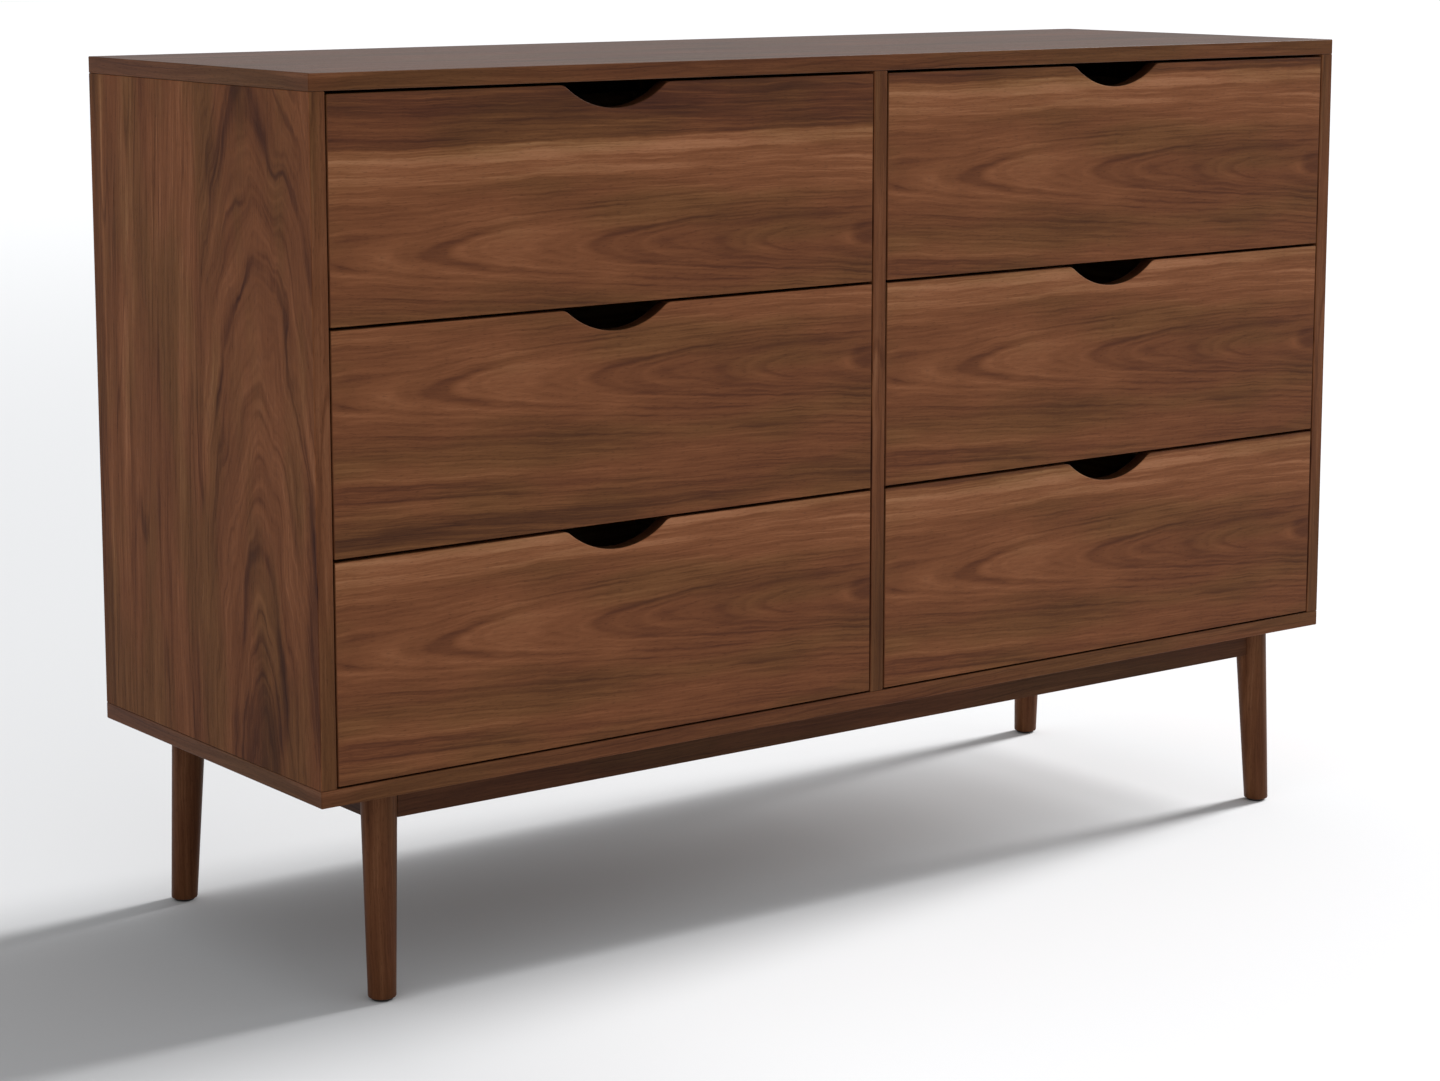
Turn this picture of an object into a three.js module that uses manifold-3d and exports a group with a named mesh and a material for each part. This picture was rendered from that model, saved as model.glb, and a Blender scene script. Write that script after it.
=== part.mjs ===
// A six-drawer dresser: a veneered case of panels, two banks of three flush drawers that run on
// hardwood runners, and a low frame with four splayed, tapered legs.
// Millimetres, +Z up. The origin is on the floor under the middle of the case. The front faces -Y.

import * as THREE from 'three';
import { mergeVertices } from 'three/addons/utils/BufferGeometryUtils.js';
import Module from 'manifold-3d';

// ---- driving dimensions ----

const CASE_WIDTH = 1200;
const CASE_DEPTH = 396;
const CASE_HEIGHT = 612;
const LEG_HEIGHT = 182;
const BOARD = 15;

const BACK_THICKNESS = 5;
const REBATE_DEPTH = 7;
const REBATE_WIDTH = 6;
const BACK_CLEARANCE = 0.5;

const ROWS = ['bottom', 'middle', 'top'];
const SIDE_GAP = 1.5;
const BOTTOM_GAP = 1.5;
const ROW_GAP = 2.5;
const FRONT_HEIGHT = 191;

const NOTCH_RADIUS = 80;
const NOTCH_DEPTH = 21;
const NOTCH_SHOULDER = 12;

const BOX_LENGTH = 355;
const BOX_HEIGHT = 150;
const BOX_LIFT = 10;
const BOX_CLEARANCE = 4;
const BOX_WALL = 12;
const BOTTOM_THICKNESS = 5;
const BOTTOM_LIFT = 8;
const BOTTOM_GROOVE = 6;

const RUNNER_WIDTH = 10;
const RUNNER_HEIGHT = 16;
const RUNNER_LIFT = 85;
const RUNNER_GROOVE_DEPTH = 7;
const RUNNER_GROOVE_HEIGHT = 17;
const GROOVE_STOP = 20;
const RUNNER_STOP_GAP = 0.5;
const RUNNER_BACK_GAP = 2;

const RAIL_HEIGHT = 25;
const RAIL_THICKNESS = 16;
const LEG_TOP = { x: 529, y: 171, radius: 16 };
const LEG_FOOT = { x: 534, y: 180, radius: 12.25 };
const FOOT_ROUNDING = 1.5;
const GLIDE_HEIGHT = 2;
const GLIDE_RADIUS = 9.5;
const COPE_GAP = 0.3;
const LEG_SEGMENTS = 36;
const ARC_SEGMENTS = 12;

// How far a cutter runs past the face it opens.
const OVERCUT = 1;

// ---- places worked out from the driving dimensions ----

const sideX = CASE_WIDTH / 2;
const frontY = -CASE_DEPTH / 2;
const rearY = CASE_DEPTH / 2;
const caseZ = LEG_HEIGHT;
const topZ = LEG_HEIGHT + CASE_HEIGHT;
const innerX = sideX - BOARD;
const innerLowZ = caseZ + BOARD;
const innerHighZ = topZ - BOARD;
const backY = rearY - REBATE_WIDTH;
const boxFrontY = frontY + BOARD;
const boxRearY = boxFrontY + BOX_LENGTH;
const railZ = caseZ - RAIL_HEIGHT;

const BAYS = [
  { name: 'left', x0: -innerX, x1: -BOARD / 2 },
  { name: 'right', x0: BOARD / 2, x1: innerX },
];

// ---- materials ----

const veneer = { color: 0x70462f, roughness: 0.45 };
const solidWalnut = { color: 0x54382a, roughness: 0.5 };
const boxWood = { color: 0xb89468, roughness: 0.6 };
const plywood = { color: 0xa8875f, roughness: 0.7 };
const runnerWood = { color: 0xa67f50, roughness: 0.55 };
const nylon = { color: 0x2a2623, roughness: 0.6 };

// ---- helpers ----

const wasm = await Module();
wasm.setup();

const dresser = new THREE.Group();

function addPiece(name, geometry, finish) {
  const material = new THREE.MeshStandardMaterial({ ...finish, metalness: 0 });
  const mesh = new THREE.Mesh(geometry, material);
  mesh.name = name;
  dresser.add(mesh);
}

// A box from its lowest corner to its highest.
function boxBetween(low, high) {
  const size = high.map((value, i) => value - low[i]);
  const geometry = new THREE.BoxGeometry(...size);
  return geometry.translate(low[0] + size[0] / 2, low[1] + size[1] / 2, low[2] + size[2] / 2);
}

function toSolid(geometry) {
  const bare = geometry.clone();
  bare.deleteAttribute('normal');
  bare.deleteAttribute('uv');
  const merged = mergeVertices(bare, 1e-4);
  return new wasm.Manifold(new wasm.Mesh({
    numProp: 3,
    vertProperties: new Float32Array(merged.attributes.position.array),
    triVerts: new Uint32Array(merged.index.array),
  }));
}

function toGeometry(solid) {
  const mesh = solid.getMesh();
  const geometry = new THREE.BufferGeometry();
  geometry.setAttribute('position', new THREE.BufferAttribute(mesh.vertProperties, 3));
  geometry.setIndex(new THREE.BufferAttribute(mesh.triVerts, 1));
  geometry.computeVertexNormals();
  return geometry;
}

// The geometry with each cutter taken away from it.
function cut(geometry, cutters) {
  let solid = toSolid(geometry);
  for (const cutter of cutters) {
    solid = solid.subtract(toSolid(cutter));
  }
  return toGeometry(solid);
}

// ---- the case ----

function addCase() {
  const rebateX = innerX + REBATE_DEPTH;
  const backX = rebateX - BACK_CLEARANCE;

  // The top and the bottom run the full width, over and under the sides. Each has a stopped
  // rebate along its inner rear edge for the back.
  addPiece('top_panel', cut(
    boxBetween([-sideX, frontY, innerHighZ], [sideX, rearY, topZ]),
    [boxBetween(
      [-rebateX, backY, innerHighZ - OVERCUT],
      [rebateX, rearY + OVERCUT, innerHighZ + REBATE_DEPTH],
    )],
  ), veneer);
  addPiece('bottom_panel', cut(
    boxBetween([-sideX, frontY, caseZ], [sideX, rearY, innerLowZ]),
    [boxBetween(
      [-rebateX, backY, innerLowZ - REBATE_DEPTH],
      [rebateX, rearY + OVERCUT, innerLowZ + OVERCUT],
    )],
  ), veneer);

  addPiece('side_panel_left', cut(
    boxBetween([-sideX, frontY, innerLowZ], [-innerX, rearY, innerHighZ]),
    [boxBetween(
      [-rebateX, backY, innerLowZ - OVERCUT],
      [-innerX + OVERCUT, rearY + OVERCUT, innerHighZ + OVERCUT],
    )],
  ), veneer);
  addPiece('side_panel_right', cut(
    boxBetween([innerX, frontY, innerLowZ], [sideX, rearY, innerHighZ]),
    [boxBetween(
      [innerX - OVERCUT, backY, innerLowZ - OVERCUT],
      [rebateX, rearY + OVERCUT, innerHighZ + OVERCUT],
    )],
  ), veneer);

  addPiece('centre_divider', boxBetween(
    [-BOARD / 2, frontY, innerLowZ],
    [BOARD / 2, backY, innerHighZ],
  ), veneer);

  const backReach = REBATE_DEPTH - BACK_CLEARANCE;
  addPiece('back_panel', boxBetween(
    [-backX, backY, innerLowZ - backReach],
    [backX, backY + BACK_THICKNESS, innerHighZ + backReach],
  ), plywood);
}

// ---- the legs and the rails between them ----

// A turned leg. It tapers from the top to the foot and leans, so both of its ends are level.
// grow makes it fatter all round and longer, for use as the cutter that copes a rail.
function legGeometry(signX, signY, grow = 0) {
  const height = LEG_HEIGHT - GLIDE_HEIGHT;
  const radiusAt = (t) => THREE.MathUtils.lerp(LEG_FOOT.radius, LEG_TOP.radius, t) + grow;
  const roundingT = FOOT_ROUNDING / height;
  const profile = [
    new THREE.Vector2(0, 0),
    new THREE.Vector2(radiusAt(0) - FOOT_ROUNDING, 0),
    new THREE.Vector2(radiusAt(0) - FOOT_ROUNDING * 0.3, FOOT_ROUNDING * 0.3),
    new THREE.Vector2(radiusAt(roundingT), FOOT_ROUNDING),
    new THREE.Vector2(radiusAt(1), height + (grow > 0 ? OVERCUT : 0)),
    new THREE.Vector2(0, height + (grow > 0 ? OVERCUT : 0)),
  ];
  const geometry = new THREE.LatheGeometry(profile, LEG_SEGMENTS);
  geometry.rotateX(Math.PI / 2);
  const position = geometry.attributes.position;
  for (let i = 0; i < position.count; i += 1) {
    const t = position.getZ(i) / height;
    const centreX = signX * THREE.MathUtils.lerp(LEG_FOOT.x, LEG_TOP.x, t);
    const centreY = signY * THREE.MathUtils.lerp(LEG_FOOT.y, LEG_TOP.y, t);
    position.setXYZ(
      i,
      position.getX(i) + centreX,
      position.getY(i) + centreY,
      position.getZ(i) + GLIDE_HEIGHT,
    );
  }
  return geometry;
}

function addBase() {
  for (const [nameY, signY] of [['front', -1], ['rear', 1]]) {
    for (const [nameX, signX] of [['left', -1], ['right', 1]]) {
      addPiece(`leg_${nameY}_${nameX}`, legGeometry(signX, signY), solidWalnut);

      const glide = new THREE.CylinderGeometry(GLIDE_RADIUS, GLIDE_RADIUS, GLIDE_HEIGHT, 24);
      glide.rotateX(Math.PI / 2);
      glide.translate(signX * LEG_FOOT.x, signY * LEG_FOOT.y, GLIDE_HEIGHT / 2);
      addPiece(`glide_${nameY}_${nameX}`, glide, nylon);
    }
  }

  // Each rail runs from leg to leg, and its ends are coped to the round of the legs.
  const half = RAIL_THICKNESS / 2;
  for (const [name, signY] of [['rail_front', -1], ['rail_rear', 1]]) {
    addPiece(name, cut(
      boxBetween(
        [-LEG_TOP.x, signY * LEG_TOP.y - half, railZ],
        [LEG_TOP.x, signY * LEG_TOP.y + half, caseZ],
      ),
      [legGeometry(-1, signY, COPE_GAP), legGeometry(1, signY, COPE_GAP)],
    ), solidWalnut);
  }
  for (const [name, signX] of [['rail_left', -1], ['rail_right', 1]]) {
    addPiece(name, cut(
      boxBetween(
        [signX * LEG_TOP.x - half, -LEG_TOP.y, railZ],
        [signX * LEG_TOP.x + half, LEG_TOP.y, caseZ],
      ),
      [legGeometry(signX, -1, COPE_GAP), legGeometry(signX, 1, COPE_GAP)],
    ), solidWalnut);
  }
}

// ---- the drawers ----

// A drawer front, with a finger notch in the middle of its top edge: one shallow arc that
// meets the edge in a rounded shoulder at each end.
function frontGeometry(x0, x1, z0) {
  const centreX = (x0 + x1) / 2;
  const half = (x1 - x0) / 2;
  const arcCentre = FRONT_HEIGHT + NOTCH_RADIUS - NOTCH_DEPTH;
  const rise = arcCentre - (FRONT_HEIGHT - NOTCH_SHOULDER);
  const shoulderX = Math.sqrt((NOTCH_RADIUS + NOTCH_SHOULDER) ** 2 - rise ** 2);
  const angle = Math.atan2(rise, shoulderX);

  const outline = new THREE.Shape();
  outline.moveTo(-half, 0);
  outline.lineTo(half, 0);
  outline.lineTo(half, FRONT_HEIGHT);
  outline.lineTo(shoulderX, FRONT_HEIGHT);
  outline.absarc(
    shoulderX, FRONT_HEIGHT - NOTCH_SHOULDER, NOTCH_SHOULDER, Math.PI / 2, Math.PI - angle, false,
  );
  outline.absarc(0, arcCentre, NOTCH_RADIUS, -angle, angle - Math.PI, true);
  outline.absarc(
    -shoulderX, FRONT_HEIGHT - NOTCH_SHOULDER, NOTCH_SHOULDER, angle, Math.PI / 2, false,
  );
  outline.lineTo(-half, FRONT_HEIGHT);

  const geometry = new THREE.ExtrudeGeometry(outline, {
    depth: BOARD,
    bevelEnabled: false,
    curveSegments: ARC_SEGMENTS,
  });
  geometry.rotateX(Math.PI / 2);
  return geometry.translate(centreX, boxFrontY, z0);
}

function addDrawer(row, bay) {
  const name = `${ROWS[row]}_${bay.name}`;
  const frontZ = innerLowZ + BOTTOM_GAP + row * (FRONT_HEIGHT + ROW_GAP);
  const boxZ = frontZ + BOX_LIFT;
  const boxTopZ = boxZ + BOX_HEIGHT;
  const panelZ = boxZ + BOTTOM_LIFT;
  const panelTopZ = panelZ + BOTTOM_THICKNESS;
  const runnerZ = frontZ + RUNNER_LIFT;
  const outer0 = bay.x0 + BOX_CLEARANCE;
  const outer1 = bay.x1 - BOX_CLEARANCE;
  const inner0 = outer0 + BOX_WALL;
  const inner1 = outer1 - BOX_WALL;

  // The bottom slides in grooves in the front and the two sides, and passes under the back.
  const bottomSlot = boxBetween(
    [inner0 - BOTTOM_GROOVE, boxFrontY - BOTTOM_GROOVE, panelZ],
    [inner1 + BOTTOM_GROOVE, boxRearY + OVERCUT, panelTopZ],
  );
  addPiece(`${name}_front`, cut(
    frontGeometry(bay.x0 + SIDE_GAP, bay.x1 - SIDE_GAP, frontZ),
    [bottomSlot],
  ), veneer);

  // Each side has a groove in its outer face for the runner, open at the rear and stopped
  // short of the front, so the runner's end stops the drawer flush with the case.
  const grooveLowZ = runnerZ - RUNNER_GROOVE_HEIGHT / 2;
  const grooveHighZ = runnerZ + RUNNER_GROOVE_HEIGHT / 2;
  const grooveFrontY = boxFrontY + GROOVE_STOP;
  addPiece(`${name}_side_left`, cut(
    boxBetween([outer0, boxFrontY, boxZ], [inner0, boxRearY, boxTopZ]),
    [bottomSlot, boxBetween(
      [outer0 - OVERCUT, grooveFrontY, grooveLowZ],
      [outer0 + RUNNER_GROOVE_DEPTH, boxRearY + OVERCUT, grooveHighZ],
    )],
  ), boxWood);
  addPiece(`${name}_side_right`, cut(
    boxBetween([inner1, boxFrontY, boxZ], [outer1, boxRearY, boxTopZ]),
    [bottomSlot, boxBetween(
      [outer1 - RUNNER_GROOVE_DEPTH, grooveFrontY, grooveLowZ],
      [outer1 + OVERCUT, boxRearY + OVERCUT, grooveHighZ],
    )],
  ), boxWood);

  addPiece(`${name}_back`, boxBetween(
    [inner0, boxRearY - BOX_WALL, panelTopZ],
    [inner1, boxRearY, boxTopZ],
  ), boxWood);

  const slack = BOTTOM_GROOVE - BACK_CLEARANCE;
  addPiece(`${name}_bottom`, boxBetween(
    [inner0 - slack, boxFrontY - slack, panelZ],
    [inner1 + slack, boxRearY, panelTopZ],
  ), plywood);

  // The runners are screwed to the side of the case and to the divider.
  const runnerFrontY = grooveFrontY + RUNNER_STOP_GAP;
  const runnerRearY = backY - RUNNER_BACK_GAP;
  const runnerLowZ = runnerZ - RUNNER_HEIGHT / 2;
  const runnerHighZ = runnerZ + RUNNER_HEIGHT / 2;
  addPiece(`${name}_runner_left`, boxBetween(
    [bay.x0, runnerFrontY, runnerLowZ],
    [bay.x0 + RUNNER_WIDTH, runnerRearY, runnerHighZ],
  ), runnerWood);
  addPiece(`${name}_runner_right`, boxBetween(
    [bay.x1 - RUNNER_WIDTH, runnerFrontY, runnerLowZ],
    [bay.x1, runnerRearY, runnerHighZ],
  ), runnerWood);
}

addCase();
addBase();
for (const bay of BAYS) {
  for (let row = 0; row < ROWS.length; row += 1) {
    addDrawer(row, bay);
  }
}

export default dresser;
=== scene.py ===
# %% [markdown]
# # A six-drawer dresser
# The frame brings the dresser's boards, legs and drawers at their real size and place. This
# lesson dresses them: each board is modelled again with the soft arrises, coped ends and grooves
# that a joiner gives it, and then it gets its wood.

# %% Load the frame
import math

import bpy
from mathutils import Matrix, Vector


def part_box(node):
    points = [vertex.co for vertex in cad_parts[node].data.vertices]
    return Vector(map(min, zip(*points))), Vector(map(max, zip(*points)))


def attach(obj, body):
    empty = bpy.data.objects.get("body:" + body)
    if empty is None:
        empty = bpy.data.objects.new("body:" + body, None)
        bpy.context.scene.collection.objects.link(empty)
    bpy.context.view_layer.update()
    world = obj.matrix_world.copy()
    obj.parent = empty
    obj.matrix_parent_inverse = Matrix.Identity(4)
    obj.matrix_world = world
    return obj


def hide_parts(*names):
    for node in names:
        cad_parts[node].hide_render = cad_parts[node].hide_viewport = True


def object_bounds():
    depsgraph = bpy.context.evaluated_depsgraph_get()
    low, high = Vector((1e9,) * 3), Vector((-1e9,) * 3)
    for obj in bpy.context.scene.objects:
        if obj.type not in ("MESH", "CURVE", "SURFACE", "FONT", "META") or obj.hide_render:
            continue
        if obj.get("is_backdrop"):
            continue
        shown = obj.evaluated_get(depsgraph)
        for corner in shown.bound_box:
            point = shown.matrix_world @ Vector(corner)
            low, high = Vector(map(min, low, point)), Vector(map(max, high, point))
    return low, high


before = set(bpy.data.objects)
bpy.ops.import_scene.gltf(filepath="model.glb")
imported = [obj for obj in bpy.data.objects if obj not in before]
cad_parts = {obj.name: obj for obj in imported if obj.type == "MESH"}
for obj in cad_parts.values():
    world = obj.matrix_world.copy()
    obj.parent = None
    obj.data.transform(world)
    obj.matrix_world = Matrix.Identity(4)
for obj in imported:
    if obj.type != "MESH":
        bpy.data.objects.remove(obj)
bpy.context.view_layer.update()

# %% [markdown]
# ## The camera
# The dresser is seen from its left, a little above its top. A long lens from about three metres
# keeps the lines calm, and a small shift moves the frame down so that the camera tips less and
# the legs stay nearly upright.

# %% The camera
def place_camera(position, turn, tip, roll, lens, shift_y):
    """A camera turned from +Y towards +X by turn and tipped down by tip, in degrees."""
    data = bpy.data.cameras.new("camera")
    data.sensor_width = 36.0
    data.lens = lens
    data.shift_y = shift_y
    camera = bpy.data.objects.new("camera", data)
    bpy.context.scene.collection.objects.link(camera)
    camera.location = position
    camera.rotation_euler = (math.radians(90.0 - tip), math.radians(roll), math.radians(-turn))
    bpy.context.scene.camera = camera
    return camera


camera = place_camera(
    position=(-1.925, -2.515, 0.9205), turn=36.91, tip=8.63, roll=0.0, lens=81.8, shift_y=-0.09,
)
print("camera", [round(v, 3) for v in camera.location])

# %% [markdown]
# ## Small helpers for node trees
# Every finish in this lesson is a tree of nodes. These few functions add one node each and link
# it, so that a material reads like a sum.

# %% Node helpers
def link(tree, source, target):
    tree.links.new(source, target)


def value_of(tree, target, value):
    """Puts a number, a vector or another node's output into a socket."""
    if isinstance(value, bpy.types.NodeSocket):
        link(tree, value, target)
    else:
        target.default_value = value


def sum_of(tree, operation, a, b=0.0, c=0.0):
    node = tree.nodes.new("ShaderNodeMath")
    node.operation = operation
    for socket, value in zip(node.inputs, (a, b, c)):
        value_of(tree, socket, value)
    return node.outputs[0]


def times(tree, a, b):
    return sum_of(tree, "MULTIPLY", a, b)


def minus(tree, a, b):
    return sum_of(tree, "SUBTRACT", a, b)


def times_plus(tree, a, b, c):
    return sum_of(tree, "MULTIPLY_ADD", a, b, c)


def join_xyz(tree, x, y, z):
    node = tree.nodes.new("ShaderNodeCombineXYZ")
    for socket, value in zip(node.inputs, (x, y, z)):
        value_of(tree, socket, value)
    return node.outputs[0]


def noise_of(tree, where, detail=2.0, roughness=0.5):
    """Noise from 0 to 1, with its middle at 0.5, at a point that is already scaled."""
    node = tree.nodes.new("ShaderNodeTexNoise")
    node.noise_dimensions = "3D"
    value_of(tree, node.inputs["Vector"], where)
    node.inputs["Scale"].default_value = 1.0
    node.inputs["Detail"].default_value = detail
    node.inputs["Roughness"].default_value = roughness
    return node.outputs[0]


def offset_by(tree, value, noise, amount):
    """A value that is moved up and down by a noise."""
    return times_plus(tree, minus(tree, noise, 0.5), amount, value)


def spread(tree, value, low, high, to_low=0.0, to_high=1.0, smooth=True):
    node = tree.nodes.new("ShaderNodeMapRange")
    node.interpolation_type = "SMOOTHSTEP" if smooth else "LINEAR"
    for name, number in (
        ("Value", value), ("From Min", low), ("From Max", high),
        ("To Min", to_low), ("To Max", to_high),
    ):
        value_of(tree, node.inputs[name], number)
    return node.outputs[0]


# A Mix node has sockets for each kind of value. These are the places of its colour sockets.
MIX_AMOUNT, MIX_FIRST, MIX_SECOND, MIX_RESULT = 0, 6, 7, 2


def mix_colours(tree, amount, first, second, blend="MIX"):
    node = tree.nodes.new("ShaderNodeMix")
    node.data_type = "RGBA"
    node.blend_type = blend
    node.clamp_factor = True
    value_of(tree, node.inputs[MIX_AMOUNT], amount)
    value_of(tree, node.inputs[MIX_FIRST], first)
    value_of(tree, node.inputs[MIX_SECOND], second)
    return node.outputs[MIX_RESULT]


def ramp_of(tree, value, stops):
    node = tree.nodes.new("ShaderNodeValToRGB")
    ramp = node.color_ramp
    ramp.interpolation = "B_SPLINE"
    while len(ramp.elements) < len(stops):
        ramp.elements.new(0.5)
    for element, (place, colour) in zip(ramp.elements, stops):
        element.position = place
        element.color = (*colour, 1.0)
    value_of(tree, node.inputs[0], value)
    return node.outputs[0]


def srgb(red, green, blue):
    """A colour from 0-255 display numbers to the linear numbers that shaders take."""
    def linear(v):
        v /= 255.0
        return v / 12.92 if v <= 0.04045 else ((v + 0.055) / 1.055) ** 2.4
    return (linear(red), linear(green), linear(blue))


def add_relief(tree, shader, height, strength, distance):
    relief = tree.nodes.new("ShaderNodeBump")
    relief.inputs["Strength"].default_value = strength
    relief.inputs["Distance"].default_value = distance
    link(tree, height, relief.inputs["Height"])
    link(tree, relief.outputs[0], shader.inputs["Normal"])


def new_material(name):
    material = bpy.data.materials.new(name)
    material.use_nodes = True
    return material, material.node_tree, material.node_tree.nodes["Principled BSDF"]


# %% [markdown]
# ## The studio
# A plain white floor runs far past the dresser. The light comes from the right, as from a tall
# narrow window: its shadow is sharp from front to back and soft from low to high. One lamp can't
# do that, so a few suns are stacked above each other, each of them small.

# %% The floor
def deselect():
    if bpy.context.object and bpy.context.object.mode != "OBJECT":
        bpy.ops.object.mode_set(mode="OBJECT")
    bpy.ops.object.select_all(action="DESELECT")


FLOOR_SIZE = 60.0
deselect()
bpy.ops.mesh.primitive_plane_add(size=FLOOR_SIZE, location=(0, 0, 0))
floor = bpy.context.object
floor.name = "floor"
paint, paint_tree, paint_shader = new_material("floor_paper_painted_shade")
paint_shader.inputs["Roughness"].default_value = 0.9
paint_shader.inputs["Specular IOR Level"].default_value = 0.2
floor.data.materials.append(paint)
floor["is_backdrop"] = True

# %% [markdown]
# The paper carries painted shade and painted shadow: it is painted greyer towards its left rear
# and its left end, away from the window, where it also deepens the dresser's shadow, and white
# again in the distance. Each painted shade runs from one place to another, in metres.

# %% The floor's painted shade
REAR_SLOPE = (0.8, -0.6)
REAR_PAINTED_SHADE = {"low": -0.75, "high": 0.20, "to_low": 0.80, "to_high": 1.0}
LEFT_PAINTED_SHADE = {"low": -1.0, "high": -0.30, "to_low": 0.74, "to_high": 1.0}
FAR_WHITE = {"low": 1.5, "high": 9.0, "to_low": 0.80, "to_high": 1.0}
PAINTED_SHADE_COLOUR = (0.0, 0.0, 0.012, 1)
PAPER_WHITE = (0.875, 0.88, 0.89, 1)

place = paint_tree.nodes.new("ShaderNodeTexCoord").outputs["Object"]
split = paint_tree.nodes.new("ShaderNodeSeparateXYZ")
link(paint_tree, place, split.inputs[0])
floor_x, floor_y = split.outputs[:2]
slope = times_plus(
    paint_tree, floor_x, REAR_SLOPE[0], times(paint_tree, floor_y, REAR_SLOPE[1]),
)
near_painted_shade = times(
    paint_tree, spread(paint_tree, slope, **REAR_PAINTED_SHADE),
    spread(paint_tree, floor_x, **LEFT_PAINTED_SHADE),
)
painted_shade_mix = sum_of(paint_tree, "MAXIMUM", near_painted_shade, spread(paint_tree, floor_y, **FAR_WHITE))
# Painted shade: the paper is mixed towards grey where the light should be dimmer, away from the
# window.
paper_and_painted_shade = mix_colours(paint_tree, painted_shade_mix, PAINTED_SHADE_COLOUR, PAPER_WHITE)
link(paint_tree, paper_and_painted_shade, paint_shader.inputs["Base Color"])

# %% The window of suns, and the white room
# Each sun's height in degrees, and its strength.
SUNS = [(14.0, 1.55), (24.0, 1.5), (36.0, 0.95), (50.0, 0.9)]
SUN_ANGLE = 13.0
SUN_TURN = 2.0
ROOM_LIGHT = (0.975, 0.99, 1.0, 1)
ROOM_STRENGTH = 0.50
BACKDROP = (0.98, 0.98, 0.985, 1)

for height, strength in SUNS:
    sun_data = bpy.data.lights.new("sun", "SUN")
    sun_data.energy = strength
    sun_data.angle = math.radians(SUN_ANGLE)
    sun = bpy.data.objects.new("sun", sun_data)
    bpy.context.scene.collection.objects.link(sun)
    sun.rotation_euler = (0, math.radians(90.0 - height), math.radians(SUN_TURN))

world = bpy.data.worlds.new("white_room")
bpy.context.scene.world = world
bpy.context.scene.view_settings.view_transform = "Standard"
world.use_nodes = True
room = world.node_tree
room_light = room.nodes["Background"]
room_light.inputs["Color"].default_value = ROOM_LIGHT
room_light.inputs["Strength"].default_value = ROOM_STRENGTH
seen = room.nodes.new("ShaderNodeBackground")
seen.inputs["Color"].default_value = BACKDROP
switch = room.nodes.new("ShaderNodeMixShader")
path = room.nodes.new("ShaderNodeLightPath")
sources = (path.outputs["Is Camera Ray"], room_light.outputs[0], seen.outputs[0])
for source, target in zip(sources, switch.inputs):
    link(room, source, target)
link(room, switch.outputs[0], room.nodes["World Output"].inputs["Surface"])
print(len(SUNS), "suns")

# %% [markdown]
# ## Wood, in the coordinates of its own log
# A board's figure comes from where it was cut in the log. Far from the heart the growth rings lie
# side by side as straight lines. Close to it the knife runs along a ring, and the same rings open
# into pointed arches. So each face carries three numbers in an attribute named grain: how far a
# point is along the grain, how far across it, and how deep under the face, in metres. A material
# that reads them can work out the distance to the log's heart, and its rings are that distance.

# %% Materials that read the grain
def grain_material(name):
    """A new material with its tree, its shader and the three numbers of the grain."""
    material, tree, shader = new_material(name)
    attribute = tree.nodes.new("ShaderNodeAttribute")
    attribute.attribute_name = "grain"
    split = tree.nodes.new("ShaderNodeSeparateXYZ")
    link(tree, attribute.outputs["Vector"], split.inputs[0])
    return material, tree, shader, tuple(split.outputs)


def grain_noise(tree, grain, seed):
    """Gives a function that makes noises, each with its own scale in the grain's directions."""
    along, across, under = grain

    def noise_at(along_scale, across_scale, under_scale, offset, detail, roughness=0.5):
        return noise_of(tree, join_xyz(
            tree,
            times_plus(tree, along, along_scale, seed + offset),
            times(tree, across, across_scale),
            times(tree, under, under_scale),
        ), detail=detail, roughness=roughness)
    return noise_at


# %% [markdown]
# ## The shape of a log
# The log isn't straight: it has slow bends, then waves, then the small crooks of single fibres.
# The knife follows its swellings, so the depth of the heart waves too. What differs from sheet to
# sheet is the cut: where the heart lies across the sheet, how deep it is below the knife at the
# start, and how fast it rises along the sheet.

# %% Bends, and the distance to the heart
# Each noise: its scale along, across and under the grain, per metre; offset; detail; roughness.
SLOW_BEND = (3.0, 5.0, 1.0, 0.0, 1.0)
WAVES = (9.0, 22.0, 8.0, 5.0, 3.0, 0.6)
CROOKS = (48.0, 70.0, 30.0, 9.0, 1.0)
SWELLINGS = (7.0, 16.0, 8.0, 33.0, 2.0)
SLOW_BEND_REACH = 0.018
CROOK_REACH = 0.0022
SWELLING_SHARE = 0.6
CALM_SHARE = 0.15
CALM_FROM, CALM_TO = 0.06, 0.03
SEAM_STEP = -0.35


def bend_across(tree, noise_at, across, wave, seam):
    """How far across the log a point lies, first in the sheet and then in its leaf of veneer. The
    leaf before the seam is straight-grained: it is cut far from the heart and hardly waves."""
    bent = offset_by(tree, across, noise_at(*SLOW_BEND), SLOW_BEND_REACH)
    waves = minus(tree, noise_at(*WAVES), 0.5)
    reach = wave if seam is None else spread(
        tree, across, seam - CALM_FROM, seam + CALM_TO, wave * CALM_SHARE, wave,
    )
    bent = times_plus(tree, waves, reach, bent)
    bent = offset_by(tree, bent, noise_at(*CROOKS), CROOK_REACH)
    if seam is None:
        return bent, bent
    leaf = sum_of(tree, "LESS_THAN", across, seam)
    return bent, times_plus(tree, leaf, SEAM_STEP, bent)


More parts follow.
